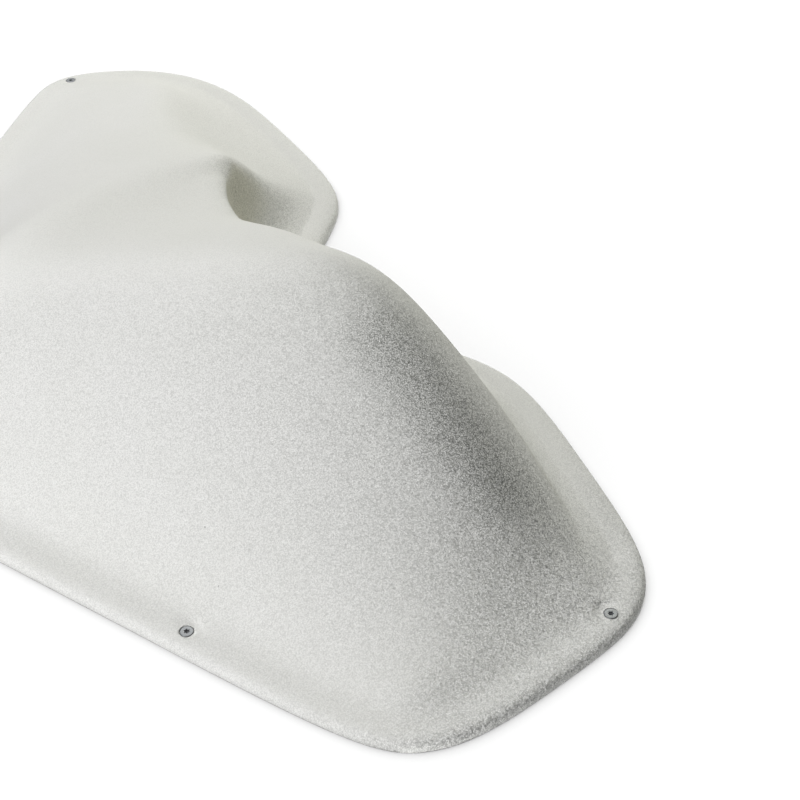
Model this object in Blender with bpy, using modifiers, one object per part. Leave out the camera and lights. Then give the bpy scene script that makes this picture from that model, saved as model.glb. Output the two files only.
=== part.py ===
"""Jug climbing hold: a moulded laminate shell with a flange all round, held to a wall by countersunk screws.

Metres. +Z points out of the wall, +Y up it. The origin lies on the back face of the flange, in line
with the screws, at the bottom of the notch.
"""
import math

import bmesh
import bpy
from mathutils import Matrix, Vector

# Main sizes: across the two side corners and from the bottom corner to the top, both before rounding, and
# the mound's highest control point over its foot
WIDTH = 1.024
HEIGHT = 0.600
MOUND_HEIGHT = 0.171

# Corner radii of the outline
BOTTOM_RADIUS = 0.110
RIGHT_TIP_RADIUS = 0.080
LEFT_TIP_RADIUS = 0.067
RIGHT_TOP_RADIUS = 0.105
LEFT_TOP_RADIUS = 0.1675
NOTCH_RIGHT_RADIUS = 0.090
NOTCH_LEFT_RADIUS = 0.110
NOTCH_RADIUS = 0.065
# The share of a straight edge that the roundings at its ends may take
MOST_ROUNDED = 0.95
# How far past the notch's middle station its lowest point lies, in stations
LOWEST_PAST_MIDDLE = 0.125

# Laminate and flange
FLANGE_WIDTH = 0.024
FLANGE_THICKNESS = 0.0095
WALL = 0.006
FOOT_REACH = 0.021
FOOT_RISE = 0.008
TOP_CREASE = 0.8

# Mound, in sections from the left tip to the right one. Four rows cross each section on the way from its
# bottom foot to its top one: the slope, the shoulder, the crest and the nose. Rises are over the foot, as
# shares of the mound's height.
SLOPE_RISES = (0.05, 0.20, 0.39, 0.53, 0.58, 0.60, 0.57, 0.47, 0.27, 0.04)
SHOULDER_RISES = (0.09, 0.25, 0.44, 0.61, 0.67, 0.71, 0.78, 0.77, 0.47, 0.08)
CREST_RISES = (0.13, 0.30, 0.47, 0.58, 0.54, 0.63, 0.97, 1.00, 0.59, 0.08)
NOSE_RISES = (0.08, 0.12, 0.16, 0.20, 0.18, 0.26, 0.40, 0.36, 0.238, 0.05)
# How far along its section each row lies, as a share of the way
SLOPE_PLACES = (0.26, 0.27, 0.28, 0.29, 0.295, 0.30, 0.30, 0.29, 0.27, 0.26)
SHOULDER_PLACE = 0.50
CREST_PLACES = (0.64, 0.64, 0.70, 0.86, 0.90, 0.94, 0.816, 0.773, 0.769, 0.735)
NOSE_PLACES = (0.83, 0.83, 0.87, 0.92, 0.935, 0.955, 0.91, 0.918, 0.977, 0.97)
# How sharp the crest is from each section to the next, most of all at the lip of the notch
CREST_CREASES = (0, 0, 0, 0.4, 0.8, 0.4, 0, 0, 0)
CREST_ROW = 3

# Screws: countersunk wood screws with a star drive
SCREW_INSET = 0.015
SCREW_LENGTH = 0.040
SCREW_RADIUS = 0.0025
HEAD_RADIUS = 0.0050
HEAD_RIM = 0.0006
HEAD_EDGE = 0.0002
HEAD_SINK = 0.0004
SHANK_RADIUS = 0.0019
SHANK_LENGTH = 0.014
POINT_LENGTH = 0.006
STAR_RADIUS = 0.00195
STAR_WAIST = 0.00055
STAR_DEPTH = 0.0020
CLEARANCE = 0.0003

# Fineness of the model
SHELL_LEVELS = 2
SCREW_SEGMENTS = 24
SMOOTH_ANGLE = 30
MERGE_DISTANCE = 0.00001

# The outline's corners before rounding, counter-clockwise from the bottom one: name, X as a share of the
# width, Y as a share of the height, and radius
CORNER_SHARES = (
    ("bottom", 0.0, 0.0, BOTTOM_RADIUS),
    ("right_tip", 0.498, 0.590, RIGHT_TIP_RADIUS),
    ("right_top", 0.425, 0.987, RIGHT_TOP_RADIUS),
    ("notch_right", 0.121, 1.0, NOTCH_RIGHT_RADIUS),
    ("notch", 0.008, 0.693, NOTCH_RADIUS),
    ("notch_left", -0.156, 0.945, NOTCH_LEFT_RADIUS),
    ("left_top", -0.488, 0.862, LEFT_TOP_RADIUS),
    ("left_tip", -0.510, 0.564, LEFT_TIP_RADIUS),
)
CORNERS = [(name, WIDTH * x, HEIGHT * y, radius) for name, x, y, radius in CORNER_SHARES]
CORNER_NAMES = [corner[0] for corner in CORNERS]


def inward(direction):
    """The normal that points into the hold from an outline that runs counter-clockwise."""
    return Vector((-direction.y, direction.x)).normalized()


def corner_turn(index):
    """The outline's direction into a corner, and the angle it turns by there."""
    corner = Vector(CORNERS[index][1:3])
    way_in = corner - Vector(CORNERS[index - 1][1:3])
    way_out = Vector(CORNERS[(index + 1) % len(CORNERS)][1:3]) - corner
    return way_in.normalized(), math.atan2(way_in.cross(way_out), way_in.dot(way_out))


def edge_fill(index):
    """How much of the edge into a corner its two roundings take, as a share of its length."""
    length = (Vector(CORNERS[index][1:3]) - Vector(CORNERS[index - 1][1:3])).length
    return sum(CORNERS[end][3] * math.tan(abs(corner_turn(end)[1]) / 2) for end in (index - 1, index)) / length


def fitted_radius(index):
    """A corner's radius, or as much of it as both edges beside it have room for."""
    fill = max(edge_fill(index), edge_fill((index + 1) % len(CORNERS)))
    return CORNERS[index][3] * min(1, MOST_ROUNDED / fill)


def corner_arc(name):
    """A rounded corner: its first and last point, its centre, its turn and the inward normal before it."""
    index = CORNER_NAMES.index(name)
    way_in, turn = corner_turn(index)
    radius = fitted_radius(index)
    first = Vector(CORNERS[index][1:3]) - way_in * radius * math.tan(abs(turn) / 2)
    centre = first + inward(way_in) * math.copysign(radius, turn)
    last = centre + Matrix.Rotation(turn, 2) @ (first - centre)
    return first, last, centre, turn, inward(way_in)


def corner_point(name, share):
    """The point that lies share of the way round a rounded corner, and the inward normal there."""
    first, _, centre, turn, normal = corner_arc(name)
    turned = Matrix.Rotation(turn * share, 2)
    return centre + turned @ (first - centre), turned @ normal


def edge_point(name, share):
    """The point that lies share of the way along the straight edge after a corner, and its normal."""
    following = CORNER_NAMES[(CORNER_NAMES.index(name) + 1) % len(CORNERS)]
    start = corner_arc(name)[1]
    end = corner_arc(following)[0]
    return start.lerp(end, share), inward(end - start)


# Stations round the outline, counter-clockwise: two long sides with one for each section and each end,
# and two short sides with one for each row of the mound
BOTTOM_SIDE = [
    corner_point("left_tip", 0.5), edge_point("left_tip", 0.0), edge_point("left_tip", 0.35),
    edge_point("left_tip", 0.70), corner_point("bottom", 0.0), corner_point("bottom", 0.3),
    corner_point("bottom", 0.6), corner_point("bottom", 1.0), edge_point("bottom", 0.30),
    edge_point("bottom", 0.65), edge_point("bottom", 1.0), corner_point("right_tip", 0.5),
]
RIGHT_SIDE = [
    corner_point("right_tip", 1.0), edge_point("right_tip", 0.6), corner_point("right_top", 0.15),
    corner_point("right_top", 0.4),
]
TOP_SIDE = [
    corner_point("right_top", 0.65), corner_point("right_top", 1.0), edge_point("right_top", 0.5),
    corner_point("notch_right", 0.1), corner_point("notch_right", 0.9), corner_point("notch", 0.5),
    edge_point("notch", 0.4), corner_point("notch_left", 0.25), corner_point("notch_left", 0.8),
    edge_point("notch_left", 0.5), corner_point("left_top", 0.1), corner_point("left_top", 0.4),
]
LEFT_SIDE = [
    corner_point("left_top", 0.60), corner_point("left_top", 0.78), corner_point("left_top", 0.96),
    corner_point("left_tip", 0.15),
]
STATIONS = BOTTOM_SIDE + RIGHT_SIDE + TOP_SIDE + LEFT_SIDE
NOTCH_STATION = STATIONS.index(corner_point("notch", 0.5)) + LOWEST_PAST_MIDDLE
COLUMNS = len(BOTTOM_SIDE)
ROWS = len(RIGHT_SIDE) + 2


def rounded(inset, where):
    """The point at a place on the curve that the rounding makes of the stations, inset from the outline.

    The place counts in stations, and the curve is a cubic spline with the stations as its control points.
    """
    before = math.floor(where)
    t = where - before
    weights = ((1 - t) ** 3, 3 * t ** 3 - 6 * t ** 2 + 4, 3 * (t + t ** 2 - t ** 3) + 1, t ** 3)
    total = Vector((0, 0))
    for k, weight in enumerate(weights, start=before - 1):
        point, normal = STATIONS[k % len(STATIONS)]
        total += (point + normal * inset) * weight / sum(weights)
    return total


def across_flange(where, inset):
    """The point that lies inset from the rounded outer edge of the flange, at a place counted in stations."""
    return rounded(0, where).lerp(rounded(FLANGE_WIDTH, where), inset / FLANGE_WIDTH)


ORIGIN = across_flange(NOTCH_STATION, SCREW_INSET)


def placed(flat, height):
    """The 3-D point at a point of the outline's plane and a height over it."""
    return Vector((flat.x - ORIGIN.x, flat.y - ORIGIN.y, height))


def ring_points(inset, height):
    """One control point for each station, inset from the outline."""
    return [placed(point + normal * inset, height) for point, normal in STATIONS]


def station_of(column, row):
    """The station at a column and row on the edge of the mound's grid."""
    if row == 0:
        return column
    if column == COLUMNS - 1:
        return COLUMNS - 1 + row
    if row == ROWS - 1:
        return 2 * (COLUMNS - 1) + ROWS - 1 - column
    return len(STATIONS) - row


def section_rows(column):
    """Place and rise of a section's inner rows, from the slope over the crest to the nose."""
    section = column - 1
    return (
        (SLOPE_PLACES[section], SLOPE_RISES[section]),
        (SHOULDER_PLACE, SHOULDER_RISES[section]),
        (CREST_PLACES[section], CREST_RISES[section]),
        (NOSE_PLACES[section], NOSE_RISES[section]),
    )


def shell_cage():
    """The shell's coarse cage: an outer skin, an inner skin a wall below it, and the rim between them."""
    cage = bmesh.new()
    crease = cage.edges.layers.float.new("crease_edge")
    foot_height = FLANGE_THICKNESS + FOOT_RISE
    count = len(STATIONS)
    rim = [cage.verts.new(point) for point in ring_points(0, FLANGE_THICKNESS)]
    bend = [cage.verts.new(point) for point in ring_points(FLANGE_WIDTH, FLANGE_THICKNESS)]
    foot = [cage.verts.new(point) for point in ring_points(FLANGE_WIDTH + FOOT_REACH, foot_height)]
    grid = {}
    for column in range(COLUMNS):
        for row in range(ROWS):
            on_edge = column in (0, COLUMNS - 1) or row in (0, ROWS - 1)
            if on_edge:
                grid[column, row] = foot[station_of(column, row)]
    for column in range(1, COLUMNS - 1):
        low = grid[column, 0].co
        high = grid[column, ROWS - 1].co
        for row, (place, rise) in enumerate(section_rows(column), start=1):
            grid[column, row] = cage.verts.new(low.lerp(high, place) + Vector((0, 0, rise * MOUND_HEIGHT)))
    outer_faces = []
    for ring, inner_ring in ((rim, bend), (bend, foot)):
        for k in range(count):
            after = (k + 1) % count
            outer_faces.append((ring[k], ring[after], inner_ring[after], inner_ring[k]))
    for column in range(COLUMNS - 1):
        for row in range(ROWS - 1):
            outer_faces.append((grid[column, row], grid[column + 1, row],
                                grid[column + 1, row + 1], grid[column, row + 1]))
    for corners in outer_faces:
        cage.faces.new(corners)
    cage.normal_update()

    # The back of the flange is flat on the wall, and the rest of the inner skin follows the outer one
    flat_back = {vert: Vector((vert.co.x, vert.co.y, 0)) for vert in rim + bend}
    inner = {vert: cage.verts.new(flat_back.get(vert, vert.co - vert.normal * WALL))
             for vert in list(cage.verts)}
    for corners in outer_faces:
        cage.faces.new([inner[vert] for vert in reversed(corners)])
    for k in range(count):
        after = (k + 1) % count
        cage.faces.new((rim[after], rim[k], inner[rim[k]], inner[rim[after]]))
        cage.edges.get((inner[rim[k]], inner[rim[after]]))[crease] = 1
        cage.edges.get((inner[bend[k]], inner[bend[after]]))[crease] = 1
    for column, sharpness in enumerate(CREST_CREASES, start=1):
        cage.edges.get((grid[column, CREST_ROW], grid[column + 1, CREST_ROW]))[crease] = sharpness
    first_top = station_of(COLUMNS - 1, ROWS - 1)
    for k in range(first_top, first_top + COLUMNS - 1):
        cage.edges.get((bend[k], bend[k + 1]))[crease] = TOP_CREASE
    return cage


# Each screw's name, its place on the outline counted in stations, and how far its star is turned
SCREWS = (
    ("screw_bottom", 5.5, 20),
    ("screw_lower_right", 9.14, 48),
    ("screw_upper_right", 14.3, 5),
    ("screw_notch_right", 20.5, 33),
    ("screw_notch_left", 21.8, 12),
    ("screw_left_tip", 31.34, 40),
    ("screw_lower_left", 2.29, 27),
)
SCREW_TOP = FLANGE_THICKNESS - HEAD_SINK
# A gap square to the 45 degree seat is wider along the flange
SEAT_SHIFT = CLEARANCE * math.sqrt(2)


def finish(name, colour, roughness, metallic):
    """A plain Principled BSDF material."""
    material = bpy.data.materials.new(name)
    material.use_nodes = True
    shader = material.node_tree.nodes["Principled BSDF"]
    shader.inputs["Base Color"].default_value = (*colour, 1)
    shader.inputs["Roughness"].default_value = roughness
    shader.inputs["Metallic"].default_value = metallic
    return material


def new_object(name, mesh, collection):
    """Link a new object with this mesh into a collection."""
    thing = bpy.data.objects.new(name, mesh)
    collection.objects.link(thing)
    return thing


def turned_object(name, profile, segments, collection):
    """A solid of revolution about Z, from its outer profile listed from top to bottom."""
    mesh = bpy.data.meshes.new(name)
    line = [(k, k + 1) for k in range(len(profile) - 1)]
    mesh.from_pydata([(radius, 0, height) for radius, height in profile], line, [])
    thing = new_object(name, mesh, collection)
    spin = thing.modifiers.new("turn", "SCREW")
    spin.steps = segments
    spin.render_steps = segments
    spin.use_merge_vertices = True
    spin.merge_threshold = MERGE_DISTANCE
    return thing


def evaluated_mesh(thing, name):
    """A new mesh of an object as its modifiers leave it."""
    graph = bpy.context.evaluated_depsgraph_get()
    mesh = bpy.data.meshes.new_from_object(thing.evaluated_get(graph))
    mesh.name = name
    return mesh


def as_cutter(thing):
    """Mark an object as a tool that isn't part of the hold."""
    thing.hide_render = True
    thing.display_type = "WIRE"
    return thing


def subtract(target, tools):
    """Cut a collection of tools out of an object with the exact solver."""
    cut = target.modifiers.new("cut " + tools.name, "BOOLEAN")
    cut.operation = "DIFFERENCE"
    cut.solver = "EXACT"
    cut.operand_type = "COLLECTION"
    cut.collection = tools


def star_cutter(collection):
    """The screw's star-drive recess: six round lobes, sunk into the head."""
    bm = bmesh.new()
    lobes = 6
    bmesh.ops.create_circle(bm, cap_ends=True, segments=lobes * 4, radius=STAR_RADIUS)
    for vert in bm.verts:
        angle = math.atan2(vert.co.y, vert.co.x)
        ripple = (1 - math.cos(lobes * angle)) / 2
        vert.co *= 1 - STAR_WAIST / STAR_RADIUS * ripple
        vert.co.z = HEAD_RIM
    floor = bmesh.ops.extrude_face_region(bm, geom=list(bm.faces))["geom"]
    bmesh.ops.translate(bm, verts=[part for part in floor if isinstance(part, bmesh.types.BMVert)],
                        vec=(0, 0, -STAR_DEPTH - HEAD_RIM))
    bmesh.ops.recalc_face_normals(bm, faces=bm.faces)
    mesh = bpy.data.meshes.new("star_recess")
    bm.to_mesh(mesh)
    bm.free()
    return as_cutter(new_object("star_recess", mesh, collection))


def screw_mesh(cutters):
    """One screw with its axis on Z and the top of its head at the origin."""
    cone_depth = HEAD_RIM + HEAD_RADIUS - SHANK_RADIUS
    shoulder = SHANK_LENGTH + SCREW_RADIUS - SHANK_RADIUS
    profile = (
        (0, 0), (HEAD_RADIUS - HEAD_EDGE, 0), (HEAD_RADIUS, -HEAD_EDGE), (HEAD_RADIUS, -HEAD_RIM),
        (SHANK_RADIUS, -cone_depth), (SHANK_RADIUS, -SHANK_LENGTH), (SCREW_RADIUS, -shoulder),
        (SCREW_RADIUS, POINT_LENGTH - SCREW_LENGTH), (0, -SCREW_LENGTH),
    )
    blank = as_cutter(turned_object("screw_blank", profile, SCREW_SEGMENTS, cutters))
    recess = bpy.data.collections.new("star_recess")
    cutters.children.link(recess)
    star_cutter(recess)
    subtract(blank, recess)
    mesh = evaluated_mesh(blank, "screw")
    mesh.shade_smooth()
    mesh.set_sharp_from_angle(angle=math.radians(SMOOTH_ANGLE))
    return mesh


def hole_mesh(cutters):
    """The countersunk hole for a screw, with its clearance all round, on the same axis and origin."""
    mouth = HEAD_RADIUS + SEAT_SHIFT
    drill = SCREW_RADIUS + CLEARANCE
    profile = (
        (0, FLANGE_THICKNESS), (mouth, FLANGE_THICKNESS), (mouth, -HEAD_RIM),
        (drill, -HEAD_RIM - mouth + drill), (drill, -2 * FLANGE_THICKNESS), (0, -2 * FLANGE_THICKNESS),
    )
    return evaluated_mesh(as_cutter(turned_object("hole_blank", profile, SCREW_SEGMENTS, cutters)), "hole")


def main():
    for thing in list(bpy.data.objects):
        bpy.data.objects.remove(thing)
    hold = bpy.data.collections.new("jug_climbing_hold")
    cutters = bpy.data.collections.new("cutters")
    for collection in (hold, cutters):
        bpy.context.scene.collection.children.link(collection)
    laminate = finish("textured_laminate", (0.78, 0.78, 0.75), 0.75, 0)
    zinc = finish("zinc_plated_steel", (0.55, 0.58, 0.60), 0.35, 1)

    cage = shell_cage()
    mesh = bpy.data.meshes.new("shell")
    cage.to_mesh(mesh)
    cage.free()
    mesh.shade_smooth()
    mesh.materials.append(laminate)
    shell = new_object("shell", mesh, hold)
    rounding = shell.modifiers.new("rounding", "SUBSURF")
    rounding.levels = SHELL_LEVELS
    rounding.render_levels = SHELL_LEVELS

    screw = screw_mesh(cutters)
    screw.materials.append(zinc)
    hole = hole_mesh(cutters)
    holes = bpy.data.collections.new("screw_holes")
    cutters.children.link(holes)
    for name, where, turn in SCREWS:
        spot = placed(across_flange(where, SCREW_INSET), SCREW_TOP)
        piece = new_object(name, screw, hold)
        piece.location = spot
        piece.rotation_euler.z = math.radians(turn)
        tool = as_cutter(new_object("hole_for_" + name, hole, holes))
        tool.location = spot
        tool.rotation_euler.z = math.radians(turn)
    subtract(shell, holes)


main()
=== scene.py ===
"""Looks of the jug climbing hold: the shell in its sprayed grit coat, and its star-drive screws.

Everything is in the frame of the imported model: metres, +Z out of the wall, +Y up it.
"""
import math

import bmesh
import bpy
from mathutils import Matrix, Vector


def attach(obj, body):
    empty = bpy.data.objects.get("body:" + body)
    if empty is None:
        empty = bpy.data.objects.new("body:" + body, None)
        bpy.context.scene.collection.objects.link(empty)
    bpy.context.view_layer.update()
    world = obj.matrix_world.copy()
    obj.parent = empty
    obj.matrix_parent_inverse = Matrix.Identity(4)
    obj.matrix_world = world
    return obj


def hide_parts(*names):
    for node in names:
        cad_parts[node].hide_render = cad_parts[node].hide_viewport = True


# Main sizes of the shell, as in the CAD
WIDTH = 1.024
HEIGHT = 0.600
MOUND_HEIGHT = 0.171

# Corner radii of the outline, the share of an edge that its roundings may take, and how far past the
# middle of the notch its lowest place lies, counted in stations
BOTTOM_RADIUS = 0.110
RIGHT_TIP_RADIUS = 0.080
LEFT_TIP_RADIUS = 0.067
RIGHT_TOP_RADIUS = 0.105
LEFT_TOP_RADIUS = 0.1675
NOTCH_RIGHT_RADIUS = 0.090
NOTCH_LEFT_RADIUS = 0.110
NOTCH_RADIUS = 0.065
MOST_ROUNDED = 0.95
LOWEST_PAST_MIDDLE = 0.125

# Laminate and flange
FLANGE_WIDTH = 0.024
FLANGE_THICKNESS = 0.0095
WALL = 0.006
FOOT_REACH = 0.021
FOOT_RISE = 0.008
# How sharp the bend of the flange is along the top side, and its back edge at the worn stations
TOP_CREASE = 0.8
BACK_CREASE = 0.8
WORN_STATIONS = range(11, 19)

# Mound: rises of its rows over the foot, as shares of its height, and the rows' places along each
# section; then the sharpness of the crest's edges, and the crest's row in the grid
SLOPE_RISES = (0.05, 0.20, 0.39, 0.53, 0.58, 0.60, 0.57, 0.47, 0.27, 0.04)
SHOULDER_RISES = (0.09, 0.25, 0.44, 0.61, 0.67, 0.71, 0.78, 0.77, 0.47, 0.08)
CREST_RISES = (0.13, 0.30, 0.47, 0.58, 0.54, 0.63, 0.97, 1.00, 0.59, 0.08)
NOSE_RISES = (0.08, 0.12, 0.16, 0.20, 0.18, 0.26, 0.40, 0.36, 0.238, 0.05)
SLOPE_PLACES = (0.26, 0.27, 0.28, 0.29, 0.295, 0.30, 0.30, 0.29, 0.27, 0.26)
SHOULDER_PLACE = 0.50
CREST_PLACES = (0.64, 0.64, 0.70, 0.86, 0.90, 0.94, 0.816, 0.773, 0.769, 0.735)
NOSE_PLACES = (0.83, 0.83, 0.87, 0.92, 0.935, 0.955, 0.91, 0.918, 0.977, 0.97)
CREST_CREASES = (0, 0, 0, 0.4, 0.8, 0.4, 0, 0, 0)
CREST_ROW = 3

# Screws
SCREW_INSET = 0.015
SCREW_LENGTH = 0.040
SCREW_RADIUS = 0.0025
HEAD_RADIUS = 0.0050
HEAD_RIM = 0.0006
HEAD_SINK = 0.0004
SHANK_RADIUS = 0.0019
SHANK_LENGTH = 0.014
POINT_LENGTH = 0.006
CLEARANCE = 0.0003
# The rounded edge of the head's top, the slight dish in its middle, and how far out that reaches
EDGE_OUT = 0.0006
EDGE_DOWN = 0.0004
DISH_DEPTH = 0.00006
DISH_REACH = 1.3
# The cone under the head, as shares of its width out and down; the step from the shank down to the
# core; and the place of the point's bend, as shares of the core's radius and the point's length
CONE_SHARES = ((0.35, 0.65), (0.08, 0.95), (0.0, 1.15))
SHANK_STEP = 0.0005
POINT_BEND = (0.5, 0.4)
# How far the shown heads stand over the CAD's
HEAD_PROUD = 0.0006

# Star recess: its lobes, its size, and the heights and scales of its rings from the mouth down
STAR_LOBES = 6
STAR_RADIUS = 0.0022
STAR_WAIST = 0.0007
STAR_DEPTH = 0.0020
STAR_RINGS = (
    (0.00040, 1.16), (0.00002, 1.16), (-0.00014, 1.0), (-STAR_DEPTH + 0.0005, 0.93), (-STAR_DEPTH, 0.55),
)
# The recess faces that are painted near-black as shade lie within this radius and between these depths
RECESS_REACH = 0.0024
RECESS_DEPTHS = (0.0001, 1.5 * STAR_DEPTH)

# Thread: its pitch and core, its half width and crest as shares, and how fast it starts and runs out
THREAD_PITCH = 0.0024
THREAD_CORE = 0.0016
THREAD_HALF = 0.24 * THREAD_PITCH
THREAD_FLAT = 0.06 * THREAD_HALF
THREAD_ROOT = 0.9
THREAD_CREST = 0.98
THREAD_START = 12
THREAD_RUNOUT = 6
THREAD_TIP = 0.1

# The coat is pressed flat round each screw: how far over the head, how far out, and how finely cut
SEAT_OVER = 0.0004
SEAT_RADIUS = 0.0065
SEAT_REACH = 0.0150
SEAT_CUTS = 2

# Fineness of the shown model
SHELL_LEVELS = 4
HEAD_SEGMENTS = 72
LOBE_STEPS = 10
EDGE_STEPS = 4
THREAD_STEPS = 20
SHARP_ANGLE = math.radians(32)

# Where clouds of noise begin and end: in a tone, and in a roughness
TONE_EDGES = (0.35, 0.65)
SHEEN_EDGES = (0.3, 0.7)
# The mean of random colours
MEAN_COLOUR = (0.5, 0.5, 0.5)

# Grit coat: its tones, its sheen, its clouds per metre, and its grains per metre
COAT_MEAN = (0.765, 0.768, 0.735)
COAT_DARK = (0.785, 0.788, 0.750)
COAT_LIGHT = (0.805, 0.806, 0.774)
COAT_SPECULAR = 0.35
COAT_ROUGHNESS = (0.80, 0.90)
CLOUD_SCALE = 7
GRIT_SCALE = 1000
# How far the grains lean, how dark the gaps between them are, where a grain ends and a gap begins, and
# the share of the dark tone that each gets; the dark tone also carries the painted shade on the flank
GRIT_TILT = 0.6
GRIT_SHADE = 0.22
GAP_AND_SHADE_TONE = (0.10, 0.11, 0.09)
GAP_EDGES = (0.25, 0.75)
GRAIN_SHARE = 0.1
GAP_SHARE = 2.0
# How rough the coat is and how dark its grain gaps are: least, and most on the flank that faces this way,
# where the darkening is painted shade
GRIT_LEAST = 0.20
FLANK_GRIT_AND_SHADE = 0.86
SHADED_FLANK_WAY = (0.94, 0.34, 0.0)
GRIT_TURNS = (-0.3, 0.7)
# The end of the hold: where along this way it starts, how much rougher it is, and its paler tone
END_WAY = (1, 1, 0)
END_REACH = (0.33, 0.50)
GRIT_END = 0.34
END_TONE = (0.88, 0.882, 0.85)
# The streak of painted shade down the flank: its ends, how far it spreads, and how much darker it is
SHADE_STREAK_START = Vector((0.226, -0.013, 0.131))
SHADE_STREAK_END = Vector((0.334, 0.031, 0.063))
SHADE_STREAK_REACH = 0.052
SHADE_STREAK_DEPTH = 0.20
# Steep faces, darkened and warmed as painted shade: their tone, the slopes and the heights over which it
# comes in
STEEP_SHADE_TONE = (0.90, 0.885, 0.79)
STEEP_SHADE_SLOPES = (0.62, 0.25)
STEEP_SHADE_HEIGHTS = (0.015, 0.030)
# Dark specks: places for them per metre, the share of places left empty, their size and their strength
SPECK_SCALE = 95
SPECK_RARITY = 0.985
SPECK_SIZE = 0.10
SPECK_SHARE = 0.55
SPECK_TONE = (0.20, 0.20, 0.19)

# Raw laminate: turn and shift of each layer of strands, strands per metre, how long they are drawn,
# and where a strand begins and ends in the noise
STRAND_LAYERS = ((0.3, 0.0), (1.4, 3.1), (2.4, 7.7))
STRAND_SCALE = 420
STRAND_DRAW = 0.06
STRAND_EDGES = (0.52, 0.66)
# Its tones, the waves in it per metre and their share of the tone, its sheen, and its relief with the
# share of that which the strands make
LAMINATE_MEAN = (0.62, 0.62, 0.55)
RESIN_TONE = (0.56, 0.555, 0.47)
STRAND_TONE = (0.72, 0.72, 0.66)
WAVE_TONE = (0.66, 0.65, 0.58)
WAVE_SCALE = 14
WAVE_SHARE = 0.5
LAMINATE_ROUGHNESS = (0.38, 0.6)
LAMINATE_RELIEF = 0.0012
STRAND_RELIEF = 0.4

# Zinc: its tones, its sheen, dull patches and grains per metre, and the grain's relief
ZINC_MEAN = (0.27, 0.28, 0.285)
ZINC_DARK = (0.225, 0.235, 0.240)
ZINC_LIGHT = (0.31, 0.32, 0.325)
ZINC_ROUGHNESS = (0.48, 0.62)
PATCH_SCALE = 900
ZINC_GRAIN = 3000
ZINC_RELIEF = 0.00004

# Painted shade in the star recess: its near-black tones and specks per metre
RECESS_SHADE_MEAN = (0.012, 0.012, 0.012)
RECESS_SHADE_DARK = (0.006, 0.006, 0.006)
RECESS_SHADE_LIGHT = (0.03, 0.03, 0.032)
RECESS_SHADE_SCALE = 2200

# Paper, and how little it and the recess's painted shade shine
PAPER_TONE = (0.3, 0.3, 0.3)
DULL_SPECULAR = 0.1

# Camera, as solved from the photograph
EYE = (1.1096, -0.3661, 0.860)
VIEW_AZIMUTH = 157.6
VIEW_PITCH = 39.5
LENS = 72
SENSOR = 36
NEAR_CLIP = 0.01

# Each soft light's name, azimuth and elevation as seen from the hold, strength and colour
COOL = (0.958, 0.954, 1.0)
PLAIN = (0.985, 0.982, 1.0)
WARM = (1.0, 1.0, 0.92)
LIGHTS = (
    ("left", 180, 46, 22, COOL),
    ("front", 270, 26, 12, COOL),
    ("near", 300, 68, 6.5, PLAIN),
    ("low_near", 300, 8, 50, PLAIN),
    ("top", 324, 46, 11, PLAIN),
    ("back_left", 144, 46, 20, WARM),
    ("back", 120, 26, 11, WARM),
    ("low_back", 120, 8, 9, WARM),
)
LIGHT_DISTANCE = 2.6
LIGHT_WIDTH = 0.9
# The point that the lights face, and the wide light over the floor alone, placed as seen from it
AIM = Vector((0.05, -0.12, 0.05))
WASH_PLACE = Vector((-1.7, -0.6, 2.5))
WASH_WIDTH = 12.0
WASH_STRENGTH = 1850

# The floor, how far under the hold it lies, and the paper close to the hold, which alone throws light
# back on it: how far it reaches out and in, and its stations
FLOOR_REACH = 2.5
FLOOR_DROP = 0.0003
APRON_DROP = 0.98 * FLOOR_DROP
APRON_OUT = 0.06
APRON_IN = 0.012
APRON_STATIONS = (10.75, 31.0)
APRON_STEPS = 84

# Each corner of the outline: its name, its place as shares of the width and height, and its radius
CORNER_SHARES = (
    ("bottom", 0.0, 0.0, BOTTOM_RADIUS),
    ("right_tip", 0.498, 0.590, RIGHT_TIP_RADIUS),
    ("right_top", 0.425, 0.987, RIGHT_TOP_RADIUS),
    ("notch_right", 0.121, 1.0, NOTCH_RIGHT_RADIUS),
    ("notch", 0.008, 0.693, NOTCH_RADIUS),
    ("notch_left", -0.156, 0.945, NOTCH_LEFT_RADIUS),
    ("left_top", -0.488, 0.862, LEFT_TOP_RADIUS),
    ("left_tip", -0.510, 0.564, LEFT_TIP_RADIUS),
)
CORNERS = [(name, WIDTH * x, HEIGHT * y, radius) for name, x, y, radius in CORNER_SHARES]
CORNER_NAMES = [corner[0] for corner in CORNERS]

# Each screw's node, its place on the outline counted in stations, and how far its star is turned
SCREWS = (
    ("screw_bottom", 5.5, 20),
    ("screw_lower_right", 9.14, 48),
    ("screw_upper_right", 14.3, 5),
    ("screw_notch_right", 20.5, 33),
    ("screw_notch_left", 21.8, 12),
    ("screw_left_tip", 31.34, 40),
    ("screw_lower_left", 2.29, 27),
)


def inward(direction):
    """The normal that points into the hold from an outline that runs counter-clockwise."""
    return Vector((-direction.y, direction.x)).normalized()


def corner_turn(index):
    """The outline's direction into a corner, and the angle it turns by there."""
    corner = Vector(CORNERS[index][1:3])
    way_in = corner - Vector(CORNERS[index - 1][1:3])
    way_out = Vector(CORNERS[(index + 1) % len(CORNERS)][1:3]) - corner
    return way_in.normalized(), math.atan2(way_in.cross(way_out), way_in.dot(way_out))


def edge_fill(index):
    """How much of the edge into a corner its two roundings take, as a share of its length."""
    length = (Vector(CORNERS[index][1:3]) - Vector(CORNERS[index - 1][1:3])).length
    taken = sum(CORNERS[end][3] * math.tan(abs(corner_turn(end)[1]) / 2) for end in (index - 1, index))
    return taken / length


def fitted_radius(index):
    """A corner's radius, or as much of it as both edges beside it have room for."""
    fill = max(edge_fill(index), edge_fill((index + 1) % len(CORNERS)))
    return CORNERS[index][3] * min(1, MOST_ROUNDED / fill)


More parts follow.
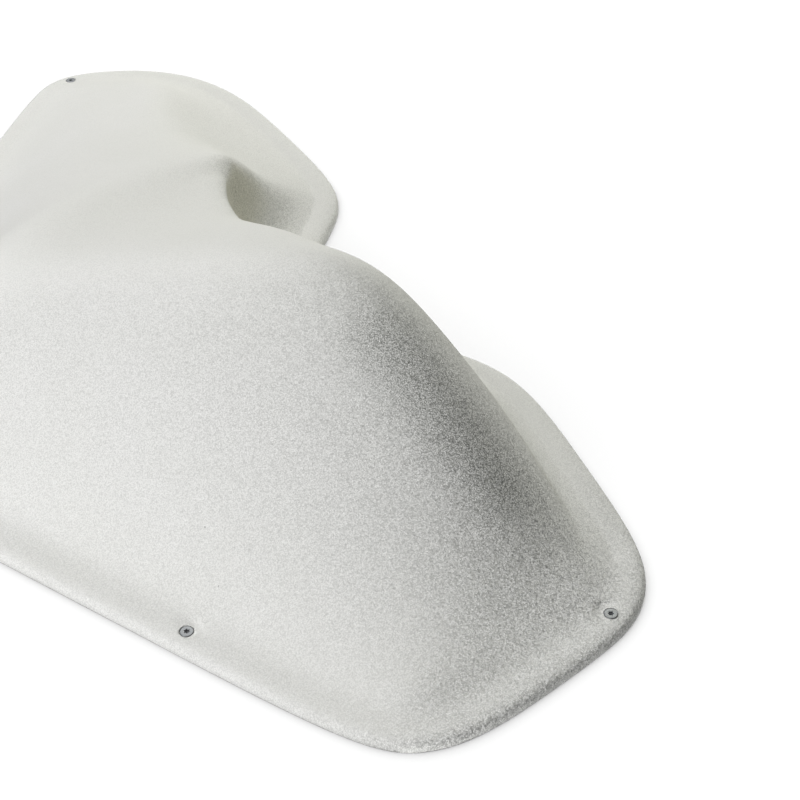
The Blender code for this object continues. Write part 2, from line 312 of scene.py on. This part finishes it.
def corner_arc(name):
    """A rounded corner: its first and last point, its centre, its turn and the inward normal before it."""
    index = CORNER_NAMES.index(name)
    way_in, turn = corner_turn(index)
    radius = fitted_radius(index)
    first = Vector(CORNERS[index][1:3]) - way_in * radius * math.tan(abs(turn) / 2)
    centre = first + inward(way_in) * math.copysign(radius, turn)
    last = centre + Matrix.Rotation(turn, 2) @ (first - centre)
    return first, last, centre, turn, inward(way_in)


def corner_point(name, share):
    """The point that lies share of the way round a rounded corner, and the inward normal there."""
    first, _, centre, turn, normal = corner_arc(name)
    turned = Matrix.Rotation(turn * share, 2)
    return centre + turned @ (first - centre), turned @ normal


def edge_point(name, share):
    """The point that lies share of the way along the straight edge after a corner, and its normal."""
    following = CORNER_NAMES[(CORNER_NAMES.index(name) + 1) % len(CORNERS)]
    start = corner_arc(name)[1]
    end = corner_arc(following)[0]
    return start.lerp(end, share), inward(end - start)


# The stations round the outline: each one's point and inward normal, side by side
BOTTOM_SIDE = [
    corner_point("left_tip", 0.5), edge_point("left_tip", 0.0), edge_point("left_tip", 0.35),
    edge_point("left_tip", 0.70), corner_point("bottom", 0.0), corner_point("bottom", 0.3),
    corner_point("bottom", 0.6), corner_point("bottom", 1.0), edge_point("bottom", 0.30),
    edge_point("bottom", 0.65), edge_point("bottom", 1.0), corner_point("right_tip", 0.5),
]
RIGHT_SIDE = [
    corner_point("right_tip", 1.0), edge_point("right_tip", 0.6), corner_point("right_top", 0.15),
    corner_point("right_top", 0.4),
]
TOP_SIDE = [
    corner_point("right_top", 0.65), corner_point("right_top", 1.0), edge_point("right_top", 0.5),
    corner_point("notch_right", 0.1), corner_point("notch_right", 0.9), corner_point("notch", 0.5),
    edge_point("notch", 0.4), corner_point("notch_left", 0.25), corner_point("notch_left", 0.8),
    edge_point("notch_left", 0.5), corner_point("left_top", 0.1), corner_point("left_top", 0.4),
]
LEFT_SIDE = [
    corner_point("left_top", 0.60), corner_point("left_top", 0.78), corner_point("left_top", 0.96),
    corner_point("left_tip", 0.15),
]
STATIONS = BOTTOM_SIDE + RIGHT_SIDE + TOP_SIDE + LEFT_SIDE
NOTCH_STATION = STATIONS.index(corner_point("notch", 0.5)) + LOWEST_PAST_MIDDLE
COLUMNS = len(BOTTOM_SIDE)
ROWS = len(RIGHT_SIDE) + 2


def rounded(inset, where):
    """The point at a place on the curve that the rounding makes of the stations, inset from the outline."""
    before = math.floor(where)
    t = where - before
    weights = ((1 - t) ** 3, 3 * t ** 3 - 6 * t ** 2 + 4, 3 * (t + t ** 2 - t ** 3) + 1, t ** 3)
    total = Vector((0, 0))
    for k, weight in enumerate(weights, start=before - 1):
        point, normal = STATIONS[k % len(STATIONS)]
        total += (point + normal * inset) * weight / sum(weights)
    return total


def across_flange(where, inset):
    """The point that lies inset from the rounded outer edge of the flange, at a place counted in stations."""
    return rounded(0, where).lerp(rounded(FLANGE_WIDTH, where), inset / FLANGE_WIDTH)


ORIGIN = across_flange(NOTCH_STATION, SCREW_INSET)


def placed(flat, height):
    """The 3-D point at a point of the outline's plane and a height over it."""
    return Vector((flat.x - ORIGIN.x, flat.y - ORIGIN.y, height))


def ring_points(inset, height):
    """One control point for each station, inset from the outline."""
    return [placed(point + normal * inset, height) for point, normal in STATIONS]


def station_of(column, row):
    """The station at a column and row on the edge of the mound's grid."""
    if row == 0:
        return column
    if column == COLUMNS - 1:
        return COLUMNS - 1 + row
    if row == ROWS - 1:
        return 2 * (COLUMNS - 1) + ROWS - 1 - column
    return len(STATIONS) - row


def section_rows(column):
    """Place and rise of a section's inner rows, from the slope over the crest to the nose."""
    section = column - 1
    return (
        (SLOPE_PLACES[section], SLOPE_RISES[section]),
        (SHOULDER_PLACE, SHOULDER_RISES[section]),
        (CREST_PLACES[section], CREST_RISES[section]),
        (NOSE_PLACES[section], NOSE_RISES[section]),
    )


def shell_cage():
    """The shell's coarse cage: an outer skin, an inner skin a wall below it, and the rim between them.

    Faces of the inner skin get the second material.
    """
    cage = bmesh.new()
    crease = cage.edges.layers.float.new("crease_edge")
    foot_height = FLANGE_THICKNESS + FOOT_RISE
    count = len(STATIONS)
    rim = [cage.verts.new(point) for point in ring_points(0, FLANGE_THICKNESS)]
    bend = [cage.verts.new(point) for point in ring_points(FLANGE_WIDTH, FLANGE_THICKNESS)]
    foot = [cage.verts.new(point) for point in ring_points(FLANGE_WIDTH + FOOT_REACH, foot_height)]
    grid = {}
    for column in range(COLUMNS):
        for row in range(ROWS):
            if column in (0, COLUMNS - 1) or row in (0, ROWS - 1):
                grid[column, row] = foot[station_of(column, row)]
    for column in range(1, COLUMNS - 1):
        low = grid[column, 0].co
        high = grid[column, ROWS - 1].co
        for row, (place, rise) in enumerate(section_rows(column), start=1):
            lift = Vector((0, 0, rise * MOUND_HEIGHT))
            grid[column, row] = cage.verts.new(low.lerp(high, place) + lift)
    outer_faces = []
    for ring, inner_ring in ((rim, bend), (bend, foot)):
        for k in range(count):
            after = (k + 1) % count
            outer_faces.append((ring[k], ring[after], inner_ring[after], inner_ring[k]))
    for column in range(COLUMNS - 1):
        for row in range(ROWS - 1):
            outer_faces.append((grid[column, row], grid[column + 1, row],
                                grid[column + 1, row + 1], grid[column, row + 1]))
    for corners in outer_faces:
        cage.faces.new(corners)
    cage.normal_update()

    flat_back = {vert: Vector((vert.co.x, vert.co.y, 0)) for vert in rim + bend}
    inner = {vert: cage.verts.new(flat_back.get(vert, vert.co - vert.normal * WALL))
             for vert in list(cage.verts)}
    for corners in outer_faces:
        cage.faces.new([inner[vert] for vert in reversed(corners)]).material_index = 1
    for k in range(count):
        after = (k + 1) % count
        cage.faces.new((rim[after], rim[k], inner[rim[k]], inner[rim[after]]))
        back_edge = cage.edges.get((inner[rim[k]], inner[rim[after]]))
        back_edge[crease] = BACK_CREASE if k in WORN_STATIONS else 1
        cage.edges.get((inner[bend[k]], inner[bend[after]]))[crease] = 1
    for column, sharpness in enumerate(CREST_CREASES, start=1):
        cage.edges.get((grid[column, CREST_ROW], grid[column + 1, CREST_ROW]))[crease] = sharpness
    first_top = station_of(COLUMNS - 1, ROWS - 1)
    for k in range(first_top, first_top + COLUMNS - 1):
        cage.edges.get((bend[k], bend[k + 1]))[crease] = TOP_CREASE
    for face in cage.faces:
        face.smooth = True
    return cage


def applied(mesh_object):
    """The object's mesh with its modifiers worked in. The object itself is removed."""
    graph = bpy.context.evaluated_depsgraph_get()
    mesh = bpy.data.meshes.new_from_object(mesh_object.evaluated_get(graph))
    bpy.data.objects.remove(mesh_object)
    return mesh


def linked(name, mesh):
    """A new object with this mesh, linked into the scene."""
    thing = bpy.data.objects.new(name, mesh)
    bpy.context.scene.collection.objects.link(thing)
    return thing


def plain_mesh(name, bm):
    """A mesh made of a bmesh, which is freed."""
    mesh = bpy.data.meshes.new(name)
    bm.to_mesh(mesh)
    bm.free()
    return mesh


def turned(name, profile, segments):
    """A closed mesh of revolution about Z, from its outer profile listed from top to bottom."""
    bm = bmesh.new()
    rings = []
    for radius, height in profile:
        if radius == 0:
            rings.append([bm.verts.new((0, 0, height))])
        else:
            rings.append([bm.verts.new((radius * math.cos(2 * math.pi * k / segments),
                                        radius * math.sin(2 * math.pi * k / segments), height))
                          for k in range(segments)])
    for upper, lower in zip(rings, rings[1:]):
        for k in range(segments):
            after = (k + 1) % segments
            corners = [upper[k % len(upper)], lower[k % len(lower)],
                       lower[after % len(lower)], upper[after % len(upper)]]
            bm.faces.new(list(dict.fromkeys(corners)))
    return plain_mesh(name, bm)


def screw_spots():
    """Each screw's node, the place of the top of its head, and its turn."""
    top = FLANGE_THICKNESS - HEAD_SINK
    return [(node, placed(across_flange(where, SCREW_INSET), top), math.radians(turn))
            for node, where, turn in SCREWS]


def press_seats(mesh):
    """Press the coat flat round each screw, so that no slope stands over its head."""
    bm = bmesh.new()
    bm.from_mesh(mesh)
    for _, spot, _ in screw_spots():
        reach = SEAT_REACH + SEAT_RADIUS
        close = [edge for edge in bm.edges
                 if all((vert.co.xy - spot.xy).length < reach for vert in edge.verts)]
        bmesh.ops.subdivide_edges(bm, edges=close, cuts=SEAT_CUTS, use_grid_fill=True)
    bm.to_mesh(mesh)
    bm.free()
    for _, spot, _ in screw_spots():
        level = spot.z + SEAT_OVER
        for vert in mesh.vertices:
            over = vert.co.z - level
            away = (vert.co.xy - spot.xy).length
            if over > 0 and away < SEAT_REACH:
                t = min(1, max(0, (SEAT_REACH - away) / (SEAT_REACH - SEAT_RADIUS)))
                vert.co.z -= over * t * t * (3 - 2 * t)


def cut_with(target, tools):
    """Cut tool objects out of a target with the exact solver, and apply the result."""
    collection = bpy.data.collections.new("tools")
    for tool in tools:
        collection.objects.link(tool)
    cut = target.modifiers.new("cut", "BOOLEAN")
    cut.operation = "DIFFERENCE"
    cut.solver = "EXACT"
    cut.operand_type = "COLLECTION"
    cut.collection = collection
    name = target.name
    mesh = applied(target)
    for tool in tools:
        bpy.data.objects.remove(tool)
    bpy.data.collections.remove(collection)
    mesh.name = name
    return mesh


def shell_mesh():
    """The moulded shell with its countersunk screw holes."""
    blank = linked("moulded_shell", plain_mesh("shell_blank", shell_cage()))
    rounding = blank.modifiers.new("rounding", "SUBSURF")
    rounding.levels = SHELL_LEVELS
    rounding.render_levels = SHELL_LEVELS
    blank = linked("moulded_shell", applied(blank))
    press_seats(blank.data)
    mouth = HEAD_RADIUS + CLEARANCE * math.sqrt(2)
    drill = SCREW_RADIUS + CLEARANCE
    hole = turned("hole", (
        (0, FLANGE_THICKNESS), (mouth, FLANGE_THICKNESS), (mouth, -HEAD_RIM),
        (drill, -HEAD_RIM - mouth + drill), (drill, -2 * FLANGE_THICKNESS), (0, -2 * FLANGE_THICKNESS),
    ), HEAD_SEGMENTS)
    tools = []
    for node, spot, _ in screw_spots():
        tool = linked("hole_for_" + node, hole)
        tool.location = spot
        tools.append(tool)
    return cut_with(blank, tools)


def star_tool():
    """The star-drive recess: six round lobes with slightly drafted walls and a bevelled mouth."""
    steps = STAR_LOBES * LOBE_STEPS
    bm = bmesh.new()
    rings = []
    for height, scale in STAR_RINGS:
        ring = []
        for k in range(steps):
            angle = 2 * math.pi * k / steps
            ripple = (1 - math.cos(STAR_LOBES * angle)) / 2
            radius = (STAR_RADIUS - STAR_WAIST * ripple) * scale
            ring.append(bm.verts.new((radius * math.cos(angle), radius * math.sin(angle), height)))
        rings.append(ring)
    for upper, lower in zip(rings, rings[1:]):
        for k in range(steps):
            after = (k + 1) % steps
            bm.faces.new((upper[k], lower[k], lower[after], upper[after]))
    bm.faces.new(rings[0])
    bm.faces.new(list(reversed(rings[-1])))
    return linked("star_tool", plain_mesh("star_tool", bm))


def thread_mesh(bm):
    """Add the screw's thread to a mesh: a ridge of triangular section that winds down and runs out."""
    top = -SHANK_LENGTH
    bottom = POINT_LENGTH / 2 - SCREW_LENGTH
    steps = (top - bottom) / THREAD_PITCH * THREAD_STEPS
    rings = []
    for k in range(round(steps) + 1):
        share = k / steps
        angle = 2 * math.pi * k / THREAD_STEPS
        height = top + (bottom - top) * share
        fade = min(1, share * THREAD_START, (1 - share) * THREAD_RUNOUT)
        taper = min(1, (height + SCREW_LENGTH) / POINT_LENGTH)
        core = THREAD_CORE * taper
        crest = core + (SCREW_RADIUS * min(1, taper + THREAD_TIP) - core) * fade * THREAD_CREST
        root = core * THREAD_ROOT
        section = ((root, THREAD_HALF), (crest, THREAD_FLAT), (crest, -THREAD_FLAT), (root, -THREAD_HALF))
        rings.append([bm.verts.new((radius * math.cos(angle), radius * math.sin(angle), height + shift))
                      for radius, shift in section])
    for one, two in zip(rings, rings[1:]):
        for k, corner in enumerate(one):
            after = (k + 1) % len(one)
            bm.faces.new((corner, two[k], two[after], one[after]))
    bm.faces.new(list(reversed(rings[0])))
    bm.faces.new(rings[-1])


def screw_mesh():
    """One countersunk wood screw, its axis on Z and the top of its head at the origin."""
    cone = HEAD_RADIUS - SHANK_RADIUS
    flat = HEAD_RADIUS - EDGE_OUT
    profile = [(0, -DISH_DEPTH), (DISH_REACH * STAR_RADIUS, -DISH_DEPTH / 2), (flat, 0)]
    for k in range(1, EDGE_STEPS + 1):
        angle = math.pi / 2 * k / EDGE_STEPS
        profile.append((flat + EDGE_OUT * math.sin(angle), -EDGE_DOWN * (1 - math.cos(angle))))
    profile.append((HEAD_RADIUS, -HEAD_RIM))
    profile += [(SHANK_RADIUS + out * cone, -HEAD_RIM - down * cone) for out, down in CONE_SHARES]
    bend_out, bend_up = POINT_BEND
    profile += [
        (SHANK_RADIUS, -SHANK_LENGTH), (THREAD_CORE, -SHANK_LENGTH - SHANK_STEP),
        (THREAD_CORE, POINT_LENGTH - SCREW_LENGTH),
        (bend_out * THREAD_CORE, bend_up * POINT_LENGTH - SCREW_LENGTH), (0, -SCREW_LENGTH),
    ]
    body = linked("screw", turned("screw_blank", profile, HEAD_SEGMENTS))
    mesh = cut_with(body, [star_tool()])
    bm = bmesh.new()
    bm.from_mesh(mesh)
    shallow, deep = RECESS_DEPTHS
    # Faces down in the star recess take the second finish, painted near-black as shade
    for face in bm.faces:
        middle = face.calc_center_median()
        if middle.xy.length < RECESS_REACH and shallow < -middle.z < deep:
            face.material_index = 1
    thread_mesh(bm)
    bm.to_mesh(mesh)
    bm.free()
    mesh.shade_smooth()
    mesh.set_sharp_from_angle(angle=SHARP_ANGLE)
    return mesh


def colour_value(colour):
    """A colour with its alpha, or the socket that gives one."""
    return (*colour, 1) if isinstance(colour, tuple) else colour


class Shading:
    """A Principled material and short calls that add and join nodes in it."""

    def __init__(self, name, colour, roughness, metallic=0.0):
        self.material = bpy.data.materials.new(name)
        self.material.use_nodes = True
        self.tree = self.material.node_tree
        self.shader = self.tree.nodes["Principled BSDF"]
        self.shader.inputs["Base Color"].default_value = (*colour, 1)
        self.shader.inputs["Roughness"].default_value = roughness
        self.shader.inputs["Metallic"].default_value = metallic
        self.place = self.tree.nodes.new("ShaderNodeTexCoord").outputs["Object"]

    def join(self, source, target):
        """Join an output to an input, or to the shader's input of that name."""
        self.tree.links.new(source, self.shader.inputs[target] if isinstance(target, str) else target)

    def fill(self, node, values):
        """Set or join a node's inputs, named or numbered."""
        for key, value in values.items():
            socket = node.inputs[key]
            if isinstance(value, bpy.types.NodeSocket):
                self.join(value, socket)
            else:
                socket.default_value = value
        return node

    def noise(self, scale, detail, roughness, distortion=0.0, where=None):
        """Clouds."""
        node = self.tree.nodes.new("ShaderNodeTexNoise")
        self.fill(node, {"Vector": where or self.place, "Scale": scale, "Detail": detail,
                         "Roughness": roughness, "Distortion": distortion})
        return node.outputs["Fac"]

    def cells(self, scale, output="Distance"):
        """Round cells: how far a point is from its cell's middle, or the cell's own random colour."""
        node = self.tree.nodes.new("ShaderNodeTexVoronoi")
        return self.fill(node, {"Vector": self.place, "Scale": scale}).outputs[output]

    def math(self, operation, first, second, third=0.0, clamp=False):
        """Arithmetic on numbers."""
        node = self.tree.nodes.new("ShaderNodeMath")
        node.operation = operation
        node.use_clamp = clamp
        return self.fill(node, {0: first, 1: second, 2: third}).outputs[0]

    def ramp(self, value, low, high, to_low=0.0, to_high=1.0, smooth=False):
        """A value's place between two limits, as a number between two others."""
        node = self.tree.nodes.new("ShaderNodeMapRange")
        node.interpolation_type = "SMOOTHSTEP" if smooth else "LINEAR"
        return self.fill(node, {0: value, 1: low, 2: high, 3: to_low, 4: to_high}).outputs[0]

    def blend(self, share, first, second, mode="MIX"):
        """A mix of two colours."""
        node = self.tree.nodes.new("ShaderNodeMix")
        node.data_type = "RGBA"
        node.blend_type = mode
        return self.fill(node, {0: share, 6: colour_value(first), 7: colour_value(second)}).outputs[2]

    def parts(self, source, index):
        """One number of a vector or colour."""
        node = self.tree.nodes.new("ShaderNodeSeparateXYZ")
        return self.fill(node, {0: source}).outputs[index]

    def vector(self, operation, first, second=(0, 0, 0), output="Vector", scale=1.0):
        """Arithmetic on vectors."""
        node = self.tree.nodes.new("ShaderNodeVectorMath")
        node.operation = operation
        return self.fill(node, {0: first, 1: second, 3: scale}).outputs[output]

    def bump(self, height, distance):
        """The normals of a surface in relief."""
        node = self.tree.nodes.new("ShaderNodeBump")
        return self.fill(node, {"Strength": 1.0, "Distance": distance, "Height": height}).outputs["Normal"]


def streak(made, start, end, reach, depth):
    """How much a streak between two points shades the surface: most at its middle, none past its reach."""
    along = end - start
    offset = made.vector("SUBTRACT", made.place, tuple(start))
    covered = made.vector("DOT_PRODUCT", offset, tuple(along), "Value")
    share = made.math("DIVIDE", covered, along.length_squared, clamp=True)
    nearest = made.vector("ADD", made.vector("SCALE", tuple(along), scale=share), tuple(start))
    away = made.vector("DISTANCE", made.place, nearest, "Value")
    return made.ramp(away, 0.0, reach, depth, 0.0, smooth=True)


def specked(made, tone):
    """A tone with a few dark specks scattered over it."""
    draw = made.parts(made.cells(SPECK_SCALE, "Color"), 0)
    size = made.ramp(draw, SPECK_RARITY, 1.0, 0.0, SPECK_SIZE)
    speck = made.math("LESS_THAN", made.cells(SPECK_SCALE), size)
    return made.blend(made.math("MULTIPLY", speck, SPECK_SHARE), tone, SPECK_TONE)


def grit_coat():
    """Off-white sprayed grit: small grains that each face their own way, with a few dark specks, and painted
    shade on one flank, down a streak and on steep faces.
    """
    made = Shading("grit_coat", COAT_MEAN, roughness=0.85)
    skin = made.tree.nodes.new("ShaderNodeNewGeometry").outputs["Normal"]
    # The flank that faces one way gets rougher grains and darker gaps; the darker gaps there are painted
    # shade
    turn = made.vector("DOT_PRODUCT", skin, SHADED_FLANK_WAY, "Value")
    side = made.ramp(turn, *GRIT_TURNS, GRIT_LEAST, FLANK_GRIT_AND_SHADE, smooth=True)
    end = made.ramp(made.vector("DOT_PRODUCT", made.place, END_WAY, "Value"), *END_REACH, smooth=True)
    grit_and_shade = made.math("MULTIPLY_ADD", end, GRIT_END, side)

    facets = made.vector("SUBTRACT", made.cells(GRIT_SCALE, "Color"), MEAN_COLOUR)
    tilt = made.vector("SCALE", facets, scale=made.math("MULTIPLY", grit_and_shade, GRIT_TILT))
    made.join(made.vector("NORMALIZE", made.vector("ADD", skin, tilt)), "Normal")

    cloud = made.noise(CLOUD_SCALE, detail=3, roughness=0.55)
    tone = made.blend(made.ramp(cloud, *TONE_EDGES), COAT_DARK, COAT_LIGHT)
    tone = made.blend(end, tone, END_TONE)
    # A streak of painted shade down the flank, which darkens the gaps between grains there
    shade_streak = streak(made, SHADE_STREAK_START, SHADE_STREAK_END, SHADE_STREAK_REACH, SHADE_STREAK_DEPTH)
    shade = made.math("MULTIPLY_ADD", grit_and_shade, GRIT_SHADE, shade_streak)
    gaps = made.ramp(made.cells(GRIT_SCALE), *GAP_EDGES, GRAIN_SHARE, GAP_SHARE)
    tone = made.blend(made.math("MULTIPLY", shade, gaps, clamp=True), tone, GAP_AND_SHADE_TONE)
    # Steep faces over the foot, such as the scoop, are darkened and warmed: painted shade
    steep = made.ramp(made.parts(skin, 2), *STEEP_SHADE_SLOPES, smooth=True)
    raised = made.ramp(made.parts(made.place, 2), *STEEP_SHADE_HEIGHTS, smooth=True)
    tone = made.blend(made.math("MULTIPLY", steep, raised), tone, STEEP_SHADE_TONE, "MULTIPLY")
    made.join(specked(made, tone), "Base Color")
    made.join(made.ramp(cloud, *SHEEN_EDGES, *COAT_ROUGHNESS), "Roughness")
    made.shader.inputs["Specular IOR Level"].default_value = COAT_SPECULAR
    return made.material


def raw_laminate():
    """The inner skin: chopped glass strands that show through cured resin."""
    made = Shading("raw_laminate", LAMINATE_MEAN, roughness=0.5)
    strands = 0.0
    for turn, shift in STRAND_LAYERS:
        mapping = made.tree.nodes.new("ShaderNodeMapping")
        made.fill(mapping, {"Vector": made.place, "Location": (shift, shift, 0.0),
                            "Rotation": (0.0, 0.0, turn), "Scale": (1.0, STRAND_DRAW, 1.0)})
        drawn = made.noise(STRAND_SCALE, detail=1, roughness=0.5, distortion=0.4, where=mapping.outputs[0])
        strands = made.math("MAXIMUM", strands, made.ramp(drawn, *STRAND_EDGES))
    wave = made.noise(WAVE_SCALE, detail=3, roughness=0.5)
    tone = made.blend(strands, RESIN_TONE, STRAND_TONE)
    tone = made.blend(made.ramp(wave, *SHEEN_EDGES, 0.0, WAVE_SHARE), tone, WAVE_TONE)
    made.join(tone, "Base Color")
    made.join(made.bump(made.math("MULTIPLY_ADD", strands, STRAND_RELIEF, wave), LAMINATE_RELIEF), "Normal")
    made.join(made.ramp(wave, *SHEEN_EDGES, *LAMINATE_ROUGHNESS), "Roughness")
    return made.material


def zinc():
    """Zinc-plated steel with a fine grain and dull patches."""
    made = Shading("zinc_plated_steel", ZINC_MEAN, roughness=0.55, metallic=1.0)
    patches = made.noise(PATCH_SCALE, detail=3, roughness=0.6)
    made.join(made.blend(made.ramp(patches, *TONE_EDGES), ZINC_DARK, ZINC_LIGHT), "Base Color")
    made.join(made.ramp(patches, *SHEEN_EDGES, *ZINC_ROUGHNESS), "Roughness")
    made.join(made.bump(made.noise(ZINC_GRAIN, detail=2, roughness=0.6), ZINC_RELIEF), "Normal")
    return made.material


def painted_recess_shade():
    """Painted shade: a near-black finish on the star recess's faces."""
    made = Shading("recess_painted_shade", RECESS_SHADE_MEAN, roughness=0.9)
    specks = made.noise(RECESS_SHADE_SCALE, detail=2, roughness=0.6)
    made.join(made.blend(specks, RECESS_SHADE_DARK, RECESS_SHADE_LIGHT), "Base Color")
    made.shader.inputs["Specular IOR Level"].default_value = DULL_SPECULAR
    return made.material


def floor_finish():
    """Matt paper, which the wide light brings up to white.

    It is grey so that little light passes between it and the hold, which keeps the shadow at their contact.
    """
    made = Shading("floor_paper", PAPER_TONE, roughness=0.9)
    made.shader.inputs["Specular IOR Level"].default_value = DULL_SPECULAR
    return made.material


def apron_mesh():
    """A flat strip of paper that follows the hold's outline."""
    first, last = APRON_STATIONS
    places = [first + (last - first) * k / APRON_STEPS for k in range(APRON_STEPS + 1)]
    bm = bmesh.new()
    outer, inner = ([bm.verts.new(placed(rounded(inset, where), 0)) for where in places]
                    for inset in (-APRON_OUT, APRON_IN))
    for k in range(APRON_STEPS):
        bm.faces.new((outer[k], outer[k + 1], inner[k + 1], inner[k]))
    return plain_mesh("floor_apron", bm)


def make_floor():
    """The floor and the apron on it, and the collection that they are in."""
    bm = bmesh.new()
    bmesh.ops.create_grid(bm, x_segments=1, y_segments=1, size=FLOOR_REACH)
    floor = linked("floor", plain_mesh("floor", bm))
    floor.location.z = -FLOOR_DROP
    floor.visible_diffuse = False
    floor.visible_glossy = False
    apron = linked("floor_apron", apron_mesh())
    apron.location.z = -APRON_DROP
    paper = floor_finish()
    on_floor = bpy.data.collections.new("on_floor")
    for sheet in (floor, apron):
        sheet.data.materials.append(paper)
        on_floor.objects.link(sheet)
    return on_floor


def soft_light(name, size, strength, place, receivers):
    """A wide light that faces down and shines on one collection alone."""
    data = bpy.data.lights.new(name, "AREA")
    data.size = size
    data.energy = strength
    light = linked(name, data)
    light.location = AIM + place
    light.light_linking.receiver_collection = receivers
    return light


def make_stage(hold):
    """Floor, lights and world."""
    on_floor = make_floor()
    on_hold = bpy.data.collections.new("on_hold")
    for piece in hold:
        on_hold.objects.link(piece)
    soft_light("wash", WASH_WIDTH, WASH_STRENGTH, WASH_PLACE, on_floor)
    for name, azimuth, elevation, strength, colour in LIGHTS:
        flat = math.cos(math.radians(elevation))
        way = Vector((flat * math.cos(math.radians(azimuth)), flat * math.sin(math.radians(azimuth)),
                      math.sin(math.radians(elevation))))
        light = soft_light(name, LIGHT_WIDTH, strength, way * LIGHT_DISTANCE, on_hold)
        light.rotation_euler = way.to_track_quat("Z", "Y").to_euler()
        light.data.shape = "DISK"
        light.data.color = colour
    world = bpy.data.worlds.new("studio")
    world.use_nodes = True
    background = world.node_tree.nodes["Background"]
    background.inputs["Color"].default_value = (1, 1, 1, 1)
    seen = world.node_tree.nodes.new("ShaderNodeLightPath").outputs["Is Camera Ray"]
    world.node_tree.links.new(seen, background.inputs["Strength"])
    bpy.context.scene.world = world
    bpy.context.scene.view_settings.view_transform = "Standard"


def make_camera():
    """The camera, where the photograph's stood."""
    data = bpy.data.cameras.new("camera")
    data.sensor_width = SENSOR
    data.lens = LENS
    data.clip_start = NEAR_CLIP
    camera = linked("camera", data)
    azimuth = math.radians(VIEW_AZIMUTH)
    pitch = math.radians(VIEW_PITCH)
    forward = Vector((math.cos(azimuth) * math.cos(pitch), math.sin(azimuth) * math.cos(pitch),
                      -math.sin(pitch)))
    right = Vector((math.sin(azimuth), -math.cos(azimuth), 0))
    turned_to = Matrix((right, right.cross(forward), -forward)).transposed()
    camera.matrix_world = Matrix.Translation(EYE) @ turned_to.to_4x4()
    bpy.context.scene.camera = camera


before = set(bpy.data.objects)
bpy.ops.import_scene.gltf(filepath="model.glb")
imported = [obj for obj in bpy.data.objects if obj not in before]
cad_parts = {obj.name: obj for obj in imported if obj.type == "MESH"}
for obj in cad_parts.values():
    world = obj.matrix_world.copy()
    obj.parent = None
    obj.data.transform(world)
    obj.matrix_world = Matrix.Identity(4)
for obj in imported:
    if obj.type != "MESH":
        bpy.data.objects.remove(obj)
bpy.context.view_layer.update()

shell = linked("moulded_shell", shell_mesh())
shell.data.materials.clear()
shell.data.materials.append(grit_coat())
shell.data.materials.append(raw_laminate())
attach(shell, "root")
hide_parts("shell")
hold = [shell]

screw = screw_mesh()
screw.materials.clear()
screw.materials.append(zinc())
# The second finish paints the star recess near-black as shade
screw.materials.append(painted_recess_shade())
for node, spot, turn in screw_spots():
    piece = linked("star_" + node, screw)
    piece.location = spot + Vector((0, 0, HEAD_PROUD))
    piece.rotation_euler.z = turn
    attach(piece, "root")
    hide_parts(node)
    hold.append(piece)

make_stage(hold)
make_camera()
